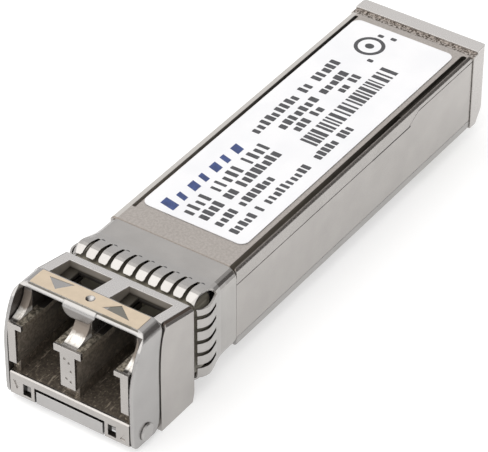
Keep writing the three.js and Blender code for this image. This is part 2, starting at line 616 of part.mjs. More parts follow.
// one optical subassembly: receptacle barrel, ceramic sleeve inside it, header can with a stepped flange
function optics(name, x, canLen) {
  const ring = (prof, seg = 40) => {
    const g = new THREE.LatheGeometry(prof.map(([r, h]) => new THREE.Vector2(r, h)), seg);
    g.translate(x, 0, AXIS_Z);
    return g;
  };
  add(`${name}_barrel`, ring([[1.16, 7.0], [1.4, 7.0], [1.5, 7.15], [1.5, 11.3], [2.05, 11.3], [2.05, 12.0],
    [1.62, 12.0], [1.62, 13.2], [1.16, 13.2], [1.16, 7.0]]), 'steel');
  add(`${name}_sleeve`, ring([[0.64, 7.4], [1.12, 7.4], [1.12, 13.0], [0.64, 13.0], [0.64, 7.4]], 32),
    'ceramic');
  add(`${name}_header`, ring([[0, 13.24], [1.75, 13.24], [1.75, 14.6], [2.1, 14.6], [2.1, 15.6], [1.5, 15.6],
    [1.5, 14.6 + canLen], [0, 14.6 + canLen]]), 'gold');
}

function opticsClamp() {
  const m = carve(union([box(-5.5, 5.5, 10.35, 11.2, 2.0, 6.2)]), [
    cylY(1.54, 10, 12, PITCH / 2, AXIS_Z, 36),
    cylY(1.54, 10, 12, -PITCH / 2, AXIS_Z, 36),
    box(-1.1, 1.1, 10, 12, 4.6, 7),
  ]);
  add('optics_clamp', m, 'clamp');
}

// flex circuit from a header down to the board
function flex(name, x) {
  const t = 0.12;
  const a = [[17.1, 5.2], [17.1, 3.9], [17.25, 3.55], [17.6, 3.42], [21.2, 3.42]];
  const b = [[21.2, 3.42 + t], [17.65, 3.42 + t], [17.36, 3.64], [17.1 + t, 3.95], [17.1 + t, 5.2]];
  add(name, prismX([...a, ...b], x - 1.1, x + 1.1), 'flex');
}

function chips() {
  const top = PCB_Z1 + 0.02;
  const chip = (name, x, y, w, l, h, mat = 'chip') => {
    const c = 0.08;
    const g = prismY([[x - w / 2, top], [x + w / 2, top], [x + w / 2, top + h - c], [x + w / 2 - c, top + h],
      [x - w / 2 + c, top + h], [x - w / 2, top + h - c]], y - l / 2, y + l / 2);
    add(name, g, mat);
  };
  chip('laser_driver', -2.9, 25.0, 3.0, 3.0, 0.75);
  chip('receiver_amplifier', 2.9, 25.0, 3.0, 3.0, 0.75);
  chip('controller', 0, 32.5, 5.0, 5.0, 0.9);
  chip('memory', -3.4, 38.8, 2.0, 3.0, 0.65);
  chip('inductor', 3.3, 38.6, 2.2, 2.2, 1.1, 'clamp');
  chip('crystal', 3.4, 42.4, 2.0, 1.6, 0.6, 'steel');
  chip('capacitor_left', -4.6, 30.2, 0.8, 1.6, 0.7, 'tan');
  chip('capacitor_right', 4.6, 30.2, 0.8, 1.6, 0.7, 'tan');
  chip('capacitor_rear', 0, 42.6, 1.6, 0.8, 0.7, 'tan');
  add('thermal_pad', box(-2.2, 2.2, 30.3, 34.7, top + 0.92, 7.57), 'pad');
}

topCasting();
baseCasting();
bottomCover();
emiCollar();
label();
bail();
bailCoat();
pivotPins();
latch();
board();
optics('transmitter', -PITCH / 2, 2.2);
optics('receiver', PITCH / 2, 2.2);
opticsClamp();
flex('flex_transmitter', -PITCH / 2);
flex('flex_receiver', PITCH / 2);
chips();

export default group;
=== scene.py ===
import json
import math
import random

import bmesh
import bpy
from mathutils import Matrix, Vector


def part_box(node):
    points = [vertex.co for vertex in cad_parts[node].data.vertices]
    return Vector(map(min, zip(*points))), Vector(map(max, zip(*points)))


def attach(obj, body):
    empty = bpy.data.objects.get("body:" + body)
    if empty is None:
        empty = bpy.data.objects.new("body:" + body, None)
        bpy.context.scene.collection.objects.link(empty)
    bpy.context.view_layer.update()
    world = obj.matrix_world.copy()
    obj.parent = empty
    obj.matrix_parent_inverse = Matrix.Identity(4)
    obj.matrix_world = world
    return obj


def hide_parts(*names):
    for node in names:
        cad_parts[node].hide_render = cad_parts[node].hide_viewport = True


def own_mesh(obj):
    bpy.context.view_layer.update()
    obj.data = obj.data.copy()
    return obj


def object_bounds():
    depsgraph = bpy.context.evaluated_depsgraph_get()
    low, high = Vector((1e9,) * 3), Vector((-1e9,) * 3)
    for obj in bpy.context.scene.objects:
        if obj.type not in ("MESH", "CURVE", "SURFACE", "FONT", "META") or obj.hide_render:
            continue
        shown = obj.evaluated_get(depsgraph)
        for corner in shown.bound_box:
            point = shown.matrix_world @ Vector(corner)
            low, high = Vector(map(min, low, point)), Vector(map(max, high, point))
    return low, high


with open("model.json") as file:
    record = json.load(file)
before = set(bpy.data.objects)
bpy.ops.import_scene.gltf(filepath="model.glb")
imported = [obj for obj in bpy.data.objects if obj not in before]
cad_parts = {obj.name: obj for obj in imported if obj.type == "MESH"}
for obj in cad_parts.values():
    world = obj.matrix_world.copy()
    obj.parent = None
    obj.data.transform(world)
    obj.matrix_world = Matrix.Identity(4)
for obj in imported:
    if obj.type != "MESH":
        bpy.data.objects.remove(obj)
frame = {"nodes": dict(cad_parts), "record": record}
nodes = frame["nodes"]
cad_lo, cad_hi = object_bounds()

MM = 0.001
FRONT = -30.0  # frame y (mm) of the front sill face
X, Y, Z = range(3)
BEVEL_SAMPLES = 4
draws = random.Random(11)  # for the widths of the label's print

# Tones of the metal, bare and plated.
ZINC = (0.425, 0.405, 0.388)
SHEET = (0.40, 0.388, 0.378)
BAIL_SHEET = (0.385, 0.375, 0.368)
SPRING_SHEET = (0.43, 0.415, 0.40)
TURNED_STEEL = (0.42, 0.41, 0.40)
LATCH_PLATE = (0.43, 0.42, 0.412)
BARREL_STEEL = (0.2, 0.185, 0.17)
GOLD = (0.80, 0.60, 0.25)

# Tones of the castings' skin, stains and dirt, and the painted shade and painted light of their recesses,
# slots and left rail.
PORT_BASE = (0.14, 0.115, 0.09)
PORT_WALL = (0.31, 0.26, 0.205)
PORT_STREAK = (0.62, 0.53, 0.42)
SHELF_DARK = (0.07, 0.06, 0.045)
SHELF_PALE = (0.34, 0.30, 0.24)
WINDOW_WALL = (0.34, 0.305, 0.265)
WINDOW_FOOT_SHADE = (0.05, 0.044, 0.034)
RAMP_BRIGHT = (0.80, 0.775, 0.74)
RAMP_STREAK = (0.38, 0.33, 0.27)
RAMP_DULL = (0.20, 0.168, 0.14)
NECK_BROWN = (0.24, 0.22, 0.175)
RAIL_PAINTED_LIGHT = (0.66, 0.64, 0.61)
SLOT_FRONT = (0.30, 0.27, 0.235)
SLOT_REAR = (0.045, 0.04, 0.033)
ROOF_LIGHTER = (0.62, 0.60, 0.585)
DECK_BROWN = (0.52, 0.475, 0.44)
DECK_SPOT = (0.2, 0.17, 0.15)
DECK_LIP = (0.17, 0.145, 0.125)
GROOVE_PIT = (0.07, 0.055, 0.043)
PARTING_SHADE = (0.075, 0.055, 0.043)
DEEP = (0.03, 0.026, 0.022)

# Tones of the bail: painted shade on its inner faces and in its dimple, a painted dark reflection on its
# bar's lip, a duller tab, and a darker right half of the bar.
BAIL_INSIDE_SHADE = (0.06, 0.053, 0.047)
TAB_DULL = (0.17, 0.155, 0.145)
BAR_RIGHT_DARKER = (0.17, 0.16, 0.13)
BAR_LIP_PAINTED_REFLECTION = (0.10, 0.09, 0.07)
DIMPLE_PAINTED_SHADE = (0.05, 0.04, 0.035)

# Boxes on the castings in millimetres: x from the centre line, y from the front face, z from the belly.
PORTS = ((0.74, 5.52), (0.3, 11.0), (1.6, 7.0))
PORT_FLOOR = ((-1.0, 6.3), (0.3, 11.0), (1.6, 2.8))
PORT_CEILING = ((0.8, 6.0), (0.3, 11.0), (7.0, 8.12))
KEYWAYS = ((0.8, 5.5), (2.4, 4.25), (7.0, 9.4))
PORT_SHELVES = ((0.78, 5.55), (0.25, 3.2), (6.98, 7.2))
WINDOWS = ((0.8, 5.5), (4.3, 7.84), (8.12, 9.6))
NECK = ((-1.0, 6.6), (8.76, 11.8), (-1.0, 8.3))
LATCH_CHANNEL = ((-1.0, 3.78), (0.06, 15.0), (-0.9, 0.95))
SILL_WINDOWS = ((4.0, 4.97), (0.1, 1.2), (-0.47, 0.85))
PARTING_EDGE = ((6.455, 6.66), (4.7, 8.7), (8.2, 9.8))
WALL_SEAM = ((6.6, 6.75), (37.0, 43.6), (6.73, 6.87))
LEFT_RAIL = ((-6.8, -6.05), (15.5, 54.3), (8.1, 8.6))
SIDE_SLOTS = (
    ((5.86, 6.3), (15.2, 54.1), (7.1, 8.42)),
    ((6.2, 6.47), (15.2, 54.1), (7.1, 8.12)),
    ((-6.06, -5.66), (17.5, 54.1), (7.7, 8.42)),
)
CENTRE_RAMP = (-1.0, 0.765)
SIDE_RAMP = (5.49, 6.3)
RAMP_Y = (0.22, 2.49)
RAMP_Z = (7.1, 9.6)

# Where one tone of the castings passes into another, in millimetres.
PORT_WALL_Z = (3.6, 6.6)
PORT_SPECK_Z = (1.6, 5.2)
PORT_BACK_Y = (3.6, 6.0)
PORT_BACK_Z = (3.5, 6.0)
RAMP_TOP_Z = (7.6, 7.95)
WINDOW_WALL_Z = (8.2, 8.5)
SLOT_SHADE_Y = (15.0, 50.0)

# The nose, deck and rear cap. The roof is flat as far as ROOF_FLAT_END, then falls towards the collar.
NOSE_TOP = 9.7
ROOF_SLOPE = 0.225
ROOF_FLAT_END = 4.87
ROOF_Y = (2.0, 9.2)
REAR_CAP_Y = (55.3, 58.0)
REAR_CAP_Z = (8.3, 8.7)
REAR_CAP_SIDE = ((6.75, 6.9), (54.7, 58.0))
DECK_Y = (15.4, 54.3)
DECK_Z = (8.38, 8.6)
DECK_LIP_Y = (15.28, 15.47)
DECK_LIP_Z = (8.3, 8.5)
GROOVE_Y = (54.2, 55.4)
GROOVE_Z = (8.1, 8.42)

# The bail, its folded tab and its punched dimple.
ARM_X = (3.0, 6.40)
ARM_Z = (-2.0, 9.80)
TAB_X = (-1.0, 1.9)
TAB_Y = (1.5, 2.3)
TAB_Z = (8.4, 9.55)
BAR_X = (-1.0, 5.7)
BAR_LIP_Y = (2.27, 2.37)
BAR_TOP_Z = (9.97, 10.4)
BAR_RIGHT_X = (2.0, 5.0)
DIMPLE_Y = 3.45
DIMPLE_Z = (9.7, 10.15)
CRESCENT_RADII = (0.14, 0.42)
CRESCENT_TURNS = ((-3.1, -2.1), (-0.75, 0.15))  # radians

# The collar, its fingers, and the black hooks of painted shade in the pits beside them.
BODY_TOP = 8.4
COLLAR_RISE = 0.37
FINGER_PITCH = 1.31
FINGER_SLOT_END = 11.70
NICK_SHIFT = 0.36
NICK_RADII = (0.13, 0.25)
NICK_TURNS = (5.0, 185.0)  # degrees
NICK_DEPTH = 0.02
NICK_PROUD = 0.012


# ---------------------------------------------------------------- node helpers
class Graph:
    """A thin layer over a node tree. A plain value goes on a socket, and a node's output is linked to it."""

    def __init__(self, node_tree):
        self.tree = node_tree
        self.tree.nodes.clear()

    def node(self, kind, **settings):
        node = self.tree.nodes.new("ShaderNode" + kind)
        for name, value in settings.items():
            setattr(node, name, value)
        return node

    def link(self, source, socket):
        if isinstance(source, (int, float, tuple)):
            socket.default_value = source
        else:
            self.tree.links.new(source, socket)

    def remap(self, value, from_low, from_high, to_low=0.0, to_high=1.0):
        """Turns from_low to from_high smoothly into to_low to to_high."""
        node = self.node("MapRange", interpolation_type="SMOOTHSTEP")
        self.link(value, node.inputs[0])
        for place, limit in enumerate((from_low, from_high, to_low, to_high), 1):
            node.inputs[place].default_value = limit
        return node.outputs[0]

    def mix(self, share, first, second):
        """The first colour where share is 0, the second where it is 1."""
        node = self.node("Mix", data_type="RGBA")
        self.link(share, node.inputs[0])
        for place, colour in ((6, first), (7, second)):
            self.link((*colour, 1) if isinstance(colour, tuple) else colour, node.inputs[place])
        return node.outputs[2]

    def dot(self, first, second):
        node = self.node("VectorMath", operation="DOT_PRODUCT")
        self.link(first, node.inputs[0])
        self.link(second, node.inputs[1])
        return node.outputs["Value"]


class Skin(Graph):
    """The node tree of one material, with places in millimetres of the whole object."""

    def __init__(self, name):
        self.material = bpy.data.materials.new(name)
        self.material.use_nodes = True
        super().__init__(self.material.node_tree)
        output = self.node("OutputMaterial")
        self.shader = self.node("BsdfPrincipled")
        self.link(self.shader.outputs[0], output.inputs[0])
        place = self.node("TexCoord")
        scaled = self.node("VectorMath", operation="SCALE")
        scaled.inputs["Scale"].default_value = 1 / MM
        self.link(place.outputs["Object"], scaled.inputs[0])
        self.mm = scaled.outputs[0]

    def math(self, operation, first, second=0.0, third=None, clamp=False):
        node = self.node("Math", operation=operation, use_clamp=clamp)
        self.link(first, node.inputs[0])
        self.link(second, node.inputs[1])
        if third is not None:
            self.link(third, node.inputs[2])
        return node.outputs[0]

    def times(self, first, *others):
        for other in others:
            first = self.math("MULTIPLY", first, other)
        return first

    def most(self, first, *others):
        for other in others:
            first = self.math("MAXIMUM", first, other)
        return first

    def times_plus(self, value, factor, more):
        return self.math("MULTIPLY_ADD", value, factor, more)

    def minus(self, value, less, clamp=False):
        return self.math("SUBTRACT", value, less, clamp=clamp)

    def axis(self, number):
        node = self.node("SeparateXYZ")
        self.link(self.mm, node.inputs[0])
        return node.outputs[number]

    def stretch(self, x, y, z):
        """Places multiplied along each axis: a noise is drawn out where the factor is small."""
        node = self.node("VectorMath", operation="MULTIPLY")
        self.link(self.mm, node.inputs[0])
        self.link((x, y, z), node.inputs[1])
        return node.outputs[0]

    def noise(self, scale, detail, roughness, at=None):
        node = self.node("TexNoise")
        self.link(at or self.mm, node.inputs["Vector"])
        node.inputs["Scale"].default_value = scale
        node.inputs["Detail"].default_value = detail
        node.inputs["Roughness"].default_value = roughness
        return node.outputs["Fac"]

    def cell_edges(self, scale, at):
        """Distance from the edges of irregular cells."""
        node = self.node("TexVoronoi", feature="DISTANCE_TO_EDGE")
        self.link(at, node.inputs["Vector"])
        node.inputs["Scale"].default_value = scale
        return node.outputs["Distance"]

    def bevel(self, radius_mm):
        """The surface normal, rounded over the edges."""
        node = self.node("Bevel", samples=BEVEL_SAMPLES)
        node.inputs["Radius"].default_value = radius_mm * MM
        return node.outputs[0]

    def edges(self, rounded):
        """1 on an outer or inner edge, 0 on a flat, from how far the rounded normal leans."""
        flat = self.node("NewGeometry").outputs["True Normal"]
        return self.remap(self.dot(rounded, flat), 1.0, 0.86)

    def bump(self, height, strength, distance_mm, normal=None):
        node = self.node("Bump")
        node.inputs["Strength"].default_value = strength
        node.inputs["Distance"].default_value = distance_mm * MM
        self.link(height, node.inputs["Height"])
        if normal is not None:
            self.link(normal, node.inputs["Normal"])
        return node.outputs[0]

    def surface(self, colour, roughness, normal=None, metallic=0.0):
        """Sets the shader and returns the material."""
        self.link(colour, self.shader.inputs["Base Color"])
        self.link(roughness, self.shader.inputs["Roughness"])
        self.link(metallic, self.shader.inputs["Metallic"])
        if normal is not None:
            self.link(normal, self.shader.inputs["Normal"])
        return self.material


def shade(colour, factor):
    """The colour made darker or lighter by a factor."""
    return tuple(min(1.0, part * factor) for part in colour)


# ---------------------------------------------------------------- masks
def within(skin, value, low, high, soft):
    """1 between low and high, fading out over soft on each side of either."""
    above = skin.remap(value, low - soft, low + soft)
    below = skin.remap(value, high - soft, high + soft, 1.0, 0.0)
    return skin.times(above, below)


def across(skin, limits, soft):
    """1 between two distances from the centre line, on both sides."""
    return within(skin, skin.math("ABSOLUTE", skin.axis(X)), *limits, soft)


def along(skin, limits, soft):
    """1 between two distances behind the front face."""
    return within(skin, skin.axis(Y), FRONT + limits[0], FRONT + limits[1], soft)


def behind(skin, limits, to_low=0.0, to_high=1.0):
    """Turns from to_low to to_high between two distances behind the front face."""
    return skin.remap(skin.axis(Y), FRONT + limits[0], FRONT + limits[1], to_low, to_high)


def upward(skin, limits, soft):
    """1 between two heights over the belly."""
    return within(skin, skin.axis(Z), *limits, soft)


def sideways(skin, limits, soft):
    """1 between two signed distances from the centre line, positive to the right."""
    return within(skin, skin.axis(X), *limits, soft)


def zone(skin, x, y, z, soft=0.03, x_mask=across):
    """1 inside a box, on both sides of the centre line unless x_mask is sideways."""
    return skin.times(x_mask(skin, x, soft), along(skin, y, soft), upward(skin, z, soft))


# ---------------------------------------------------------------- metal
def metal(name, base, roughness, grain=9.0, bevel=0.07, brushed=None, cast=None, inner=None):
    """Plated metal: fine grain, soft clouds in tone, faint scratches, and edges painted lighter as a
    highlight, where the roughness is also lowered as on rubbed metal.

    brushed draws streaks along an axis. cast and inner change parts of the surface further.
    """
    skin = Skin(name)
    rounded = skin.bevel(bevel)
    edge = skin.edges(rounded)
    fine = skin.noise(grain, 3.0, 0.6)
    soft = skin.noise(0.35, 3.0, 0.5)
    worn = skin.noise(1.7, 4.0, 0.65)
    drawn = skin.noise(6.0, 2.0, 0.5, skin.stretch(0.25, 3.0, 3.0))
    scratch = skin.remap(drawn, 0.62, 0.7)
    cloud = skin.remap(skin.times_plus(soft, 0.5, skin.times(worn, 0.1)), 0.15, 0.45)
    colour = skin.mix(cloud, shade(base, 0.95), shade(base, 1.05))
    colour = skin.mix(skin.times(scratch, 0.08), colour, shade(base, 1.25))
    # painted highlight: the edges are made lighter in colour
    colour = skin.mix(skin.times(edge, 0.5), colour, shade(base, 1.3))
    rough = skin.times_plus(worn, 0.08, roughness - 0.04)
    rough = skin.times_plus(fine, 0.06, rough)
    rough = skin.minus(rough, skin.times(edge, 0.08), clamp=True)
    height = fine
    if brushed:
        streak = skin.noise(14.0, 2.0, 0.5, skin.stretch(*brushed))
        height = skin.times_plus(streak, 0.7, skin.times(fine, 0.3))
        rough = skin.times_plus(streak, 0.1, rough)
        colour = skin.mix(skin.remap(streak, 0.35, 0.7, 0.0, 0.22), colour, shade(base, 0.86))
    if cast:
        colour, rough, height = cast(skin, colour, rough, height)
    metallic = 1.0
    if inner:
        colour, rough, metallic = inner(skin, colour, rough)
    normal = skin.bump(height, 0.6, 0.003, rounded)
    return skin.surface(colour, rough, normal, metallic)


def port_skin(skin):
    """Mottled cast skin of the ports, with pale specks.

    It is brown at the floor and greyer on the walls, and painted shade turns it black far in.
    """
    patch = skin.noise(0.8, 5.0, 0.65)
    fine = skin.noise(3.5, 4.0, 0.65)
    high = skin.remap(skin.times_plus(patch, 2.4, skin.axis(Z)), *PORT_WALL_Z)
    colour = skin.mix(high, PORT_BASE, PORT_WALL)
    colour = skin.mix(skin.remap(fine, 0.42, 0.6, 0.5, 0.0), colour, DEEP)
    drawn = skin.noise(4.0, 3.0, 0.6, skin.stretch(1.0, 0.18, 1.0))
    speck = skin.noise(3.0, 6.0, 0.8)
    low = skin.remap(skin.axis(Z), *PORT_SPECK_Z, 1.0, 0.12)
    pale = skin.most(skin.remap(drawn, 0.57, 0.72, 0.0, 0.6), skin.remap(speck, 0.56, 0.66, 0.0, 0.75))
    colour = skin.mix(skin.times(pale, low), colour, PORT_STREAK)
    # painted shade: the skin turns black deep inside the ports
    back = behind(skin, PORT_BACK_Y, 0.0, 0.95)
    return skin.mix(skin.times(back, skin.remap(skin.axis(Z), *PORT_BACK_Z)), colour, DEEP)


def ramp_skin(skin):
    """The ramps over the posts: bright with streaks at the foot, turning dark towards the top."""
    top = skin.remap(skin.times_plus(skin.noise(2.2, 3.0, 0.6), 0.5, skin.axis(Z)), *RAMP_TOP_Z)
    drag = skin.remap(skin.noise(4.0, 4.0, 0.65, skin.stretch(1.0, 0.25, 0.25)), 0.47, 0.66, 0.0, 0.75)
    return skin.mix(top, skin.mix(drag, RAMP_BRIGHT, RAMP_STREAK), RAMP_DULL)


def port_shade_and_grime(skin, colour, rough):
    """Unplated skin inside the ports, windows, slots, latch channel and neck: dark and mottled in the ports,
    with painted shade in the port ceilings and keyways, at the foot of the windows, in the side slots, latch
    channel and sill windows and along the parting edge.

    The ramps over the posts have their own skin, and the rail left of the label is painted a lighter grey, as
    painted light on its inner face.
    """
    ports = skin.most(zone(skin, *PORTS), zone(skin, *PORT_FLOOR))
    # painted shade: the port ceilings and keyways are made near black
    deep = skin.most(zone(skin, *PORT_CEILING, 0.05), zone(skin, *KEYWAYS))
    # painted shade: the latch channel and the sill's windows are made near black
    latch = skin.most(zone(skin, *LATCH_CHANNEL), zone(skin, *SILL_WINDOWS))
    # painted shade: the side slots are made dark, darker towards the rear
    slots = skin.most(*(zone(skin, *slot, 0.015, sideways) for slot in SIDE_SLOTS))
    ramp = skin.times(along(skin, RAMP_Y, 0.03), upward(skin, RAMP_Z, 0.03))
    ramp = skin.times(ramp, skin.most(across(skin, CENTRE_RAMP, 0.01), across(skin, SIDE_RAMP, 0.01)))
    shelf_tone = skin.mix(skin.remap(skin.noise(3.0, 4.0, 0.7), 0.4, 0.62), SHELF_DARK, SHELF_PALE)
    # painted shade: the windows turn near black towards their foot
    window_tone = skin.mix(skin.remap(skin.axis(Z), *WINDOW_WALL_Z), WINDOW_FOOT_SHADE, WINDOW_WALL)
    slot_tone = skin.mix(behind(skin, SLOT_SHADE_Y), SLOT_FRONT, SLOT_REAR)
    total = 0.0
    for mask, tone in (
        (ports, port_skin(skin)),
        (deep, DEEP),
        (zone(skin, *PORT_SHELVES), shelf_tone),
        (zone(skin, *WINDOWS), window_tone),
        (zone(skin, *NECK, 0.02), NECK_BROWN),
        (latch, DEEP),
        (slots, slot_tone),
        # painted shade: a dark line on the parting edge between roof and cheek
        (zone(skin, *PARTING_EDGE), PARTING_SHADE),
        (zone(skin, *WALL_SEAM, 0.02), DEEP),
        (ramp, ramp_skin(skin)),
    ):
        colour = skin.mix(mask, colour, tone)
        total = skin.most(total, mask)
    # painted light: the left rail beside the label is made a lighter grey, standing for light on its inner
    # face
    rail = skin.times(zone(skin, *LEFT_RAIL, 0.02, sideways), 0.8)
    colour = skin.mix(rail, colour, RAIL_PAINTED_LIGHT)
    fleck = skin.remap(skin.noise(1.6, 4.0, 0.6), 0.35, 0.65, 0.9, 1.1)
    metallic = skin.minus(1.0, skin.times(total, skin.times(fleck, 0.6)), clamp=True)
    return colour, skin.times_plus(total, 0.12, rough), metallic


def bright_tops(skin, colour, rough):
    """The roof and rear cap are a lighter grey than the deck, on top of the port shade and grime."""
    colour, rough, metallic = port_shade_and_grime(skin, colour, rough)
    fall = skin.times_plus(skin.axis(Y), -ROOF_SLOPE, NOSE_TOP + ROOF_SLOPE * (ROOF_FLAT_END + FRONT))
    lift = skin.minus(skin.axis(Z), fall)
    roof = skin.times(within(skin, lift, -0.06, 0.3, 0.03), along(skin, ROOF_Y, 0.1))
    cap = skin.times(upward(skin, REAR_CAP_Z, 0.04), along(skin, REAR_CAP_Y, 0.06))
    side_x, side_y = REAR_CAP_SIDE
    side = skin.times(across(skin, side_x, 0.03), along(skin, side_y, 0.03), 0.45)
    colour = skin.mix(skin.most(roof, skin.most(cap, side)), colour, ROOF_LIGHTER)
    return colour, rough, metallic


def cast_skin(skin, colour, rough, height):
    """As-cast skin: coarse and brownish on the deck top and in the rear cross groove, smooth on the sides."""
    top = skin.times(upward(skin, DECK_Z, 0.02), along(skin, DECK_Y, 0.04))
    groove = skin.times(upward(skin, GROOVE_Z, 0.02), along(skin, GROOVE_Y, 0.04))
    mask = skin.most(skin.times(top, 0.6), groove)
    pit = skin.noise(4.5, 5.0, 0.7)
    spots = skin.remap(pit, 0.42, 0.58, 1.0, 0.0)
    colour = skin.mix(mask, colour, DECK_BROWN)
    colour = skin.mix(skin.times(groove, spots), colour, GROOVE_PIT)
    colour = skin.mix(skin.times(top, skin.times(spots, 0.25)), colour, DECK_SPOT)
    lip = skin.times(along(skin, DECK_LIP_Y, 0.02), upward(skin, DECK_LIP_Z, 0.02), 0.85)
    colour = skin.mix(lip, colour, DECK_LIP)
    rough = skin.times_plus(mask, 0.14, rough)
    height = skin.math("ADD", height, skin.times(mask, skin.times(pit, 3.0)))
    return colour, rough, height


def bail_shade(skin, colour, rough):
    """Painted shade on the inner faces of the bail, which are less metallic, and a duller tab below its bend.

    The top bar is darker on its right half, has a painted dark reflection along its front lip, and painted
    shade as two dark crescents in its dimple.
    """
    arm = skin.times(across(skin, ARM_X, 0.015), upward(skin, ARM_Z, 0.015))
    tab = skin.times(across(skin, TAB_X, 0.05), upward(skin, TAB_Z, 0.08), along(skin, TAB_Y, 0.05))
    colour = skin.mix(skin.times(tab, 0.75), colour, TAB_DULL)
    # painted shade: the inner faces are made near black
    colour = skin.mix(arm, colour, BAIL_INSIDE_SHADE)
    # the right half of the bar's top is made darker
    right_darker = skin.times(sideways(skin, BAR_RIGHT_X, 0.05), upward(skin, BAR_TOP_Z, 0.01), 0.75)
    colour = skin.mix(right_darker, colour, BAR_RIGHT_DARKER)
    # painted shade: two dark crescents in the near half of the dimple
    aside = skin.axis(X)
    away = skin.minus(skin.axis(Y), FRONT + DIMPLE_Y)
    turn = skin.math("ARCTAN2", away, aside)
    squares = skin.math("ADD", skin.math("POWER", aside, 2.0), skin.math("POWER", away, 2.0))
    far = skin.math("SQRT", squares)
    crescent_shade = skin.most(*(within(skin, turn, *limits, 0.15) for limits in CRESCENT_TURNS))
    crescent_shade = skin.times(crescent_shade, within(skin, far, *CRESCENT_RADII, 0.04), upward(skin, DIMPLE_Z, 0.02))
    colour = skin.mix(crescent_shade, colour, DIMPLE_PAINTED_SHADE)
    # painted dark reflection: a dark line along the bar's front lip
    lip = skin.times(along(skin, BAR_LIP_Y, 0.02), upward(skin, BAR_TOP_Z, 0.01), across(skin, BAR_X, 0.05))
    colour = skin.mix(skin.times(lip, 0.8), colour, BAR_LIP_PAINTED_REFLECTION)
    metallic = skin.minus(1.0, skin.times(skin.most(arm, crescent_shade), 0.5))
    return colour, rough, metallic


# ---------------------------------------------------------------- paint, film, ink and moulded parts
def plain(name, base, roughness, grain=10.0, depth=0.01):
    """Moulded, painted or ceramic skin with a fine grain and slight blotches."""
    skin = Skin(name)
    rounded = skin.bevel(0.05)
    fine = skin.noise(grain, 4.0, 0.6)
    soft = skin.noise(0.8, 3.0, 0.6)
    colour = skin.mix(skin.remap(soft, 0.3, 0.7), shade(base, 0.92), shade(base, 1.08))
    colour = skin.mix(skin.times(skin.remap(fine, 0.6, 0.75), 0.2), colour, shade(base, 0.7))
    rough = skin.times_plus(fine, 0.12, roughness - 0.06)
    return skin.surface(colour, rough, skin.bump(fine, 0.8, depth, rounded))


def coat_paint():
    """Matt beige paint, thin over sheet metal, with bare nicks."""
    skin = Skin("coat_paint")
    base = (0.53, 0.435, 0.325)
    bare = (0.36, 0.33, 0.31)
    rounded = skin.bevel(0.03)
    soft = skin.noise(1.2, 4.0, 0.6)
    peel = skin.noise(7.0, 3.0, 0.55)
    colour = skin.mix(skin.remap(soft, 0.3, 0.7), shade(base, 0.95), shade(base, 1.04))
    nick = skin.remap(skin.noise(3.2, 6.0, 0.75), 0.70, 0.73)
    colour = skin.mix(skin.times(nick, 0.5), colour, bare)
    rough = skin.times_plus(peel, 0.15, 0.42)
    return skin.surface(colour, rough, skin.bump(peel, 0.5, 0.008, rounded))


def label_film():
    """Satin polyester film: near white, with a faint weave of fibres and handling marks."""
    skin = Skin("label_film")
    cool = (0.74, 0.745, 0.765)
    warm = (0.78, 0.78, 0.795)
    handled = (0.6, 0.59, 0.6)
    fibre = skin.noise(9.0, 4.0, 0.6, skin.stretch(1.0, 0.3, 1.0))
    soft = skin.noise(0.25, 3.0, 0.5)
    colour = skin.mix(skin.remap(soft, 0.3, 0.7), cool, warm)
    smudge = skin.remap(skin.noise(0.7, 5.0, 0.7), 0.62, 0.78, 0.0, 0.05)
    colour = skin.mix(smudge, colour, handled)
    rough = skin.times_plus(fibre, 0.12, 0.42)
    return skin.surface(colour, rough, skin.bump(fibre, 0.4, 0.006, skin.bevel(0.03)))


def ink(name, base):
    """Thermal-transfer ink: dense, with tiny pinholes."""
    skin = Skin(name)
    film = (0.5, 0.5, 0.52)
    pinhole = skin.remap(skin.noise(14.0, 3.0, 0.6), 0.62, 0.7)
    soft = skin.noise(1.5, 2.0, 0.5)
    colour = skin.mix(skin.remap(soft, 0.3, 0.7), shade(base, 0.85), shade(base, 1.2))
    colour = skin.mix(skin.times(pinhole, 0.3), colour, film)
    rough = skin.times_plus(pinhole, 0.2, 0.4)
    return skin.surface(colour, rough, skin.bump(pinhole, 0.3, 0.003))


def solder_mask():
    """Green mask over copper: traces show as raised, slightly lighter lines."""
    skin = Skin("solder_mask")
    green = (0.03, 0.12, 0.065)
    over_copper = (0.05, 0.2, 0.1)
    thick = (0.02, 0.08, 0.045)
    tracks = skin.remap(skin.cell_edges(1.6, skin.stretch(1.0, 0.35, 0.2)), 0.02, 0.06, 1.0, 0.0)
    soft = skin.noise(2.0, 3.0, 0.5)
    colour = skin.mix(tracks, green, over_copper)
    colour = skin.mix(skin.remap(soft, 0.35, 0.7, 0.0, 0.3), colour, thick)
    rough = skin.times_plus(soft, 0.15, 0.25)
    height = skin.math("ADD", tracks, skin.times(soft, 0.2))
    return skin.surface(colour, rough, skin.bump(height, 0.7, 0.02, skin.bevel(0.04)))


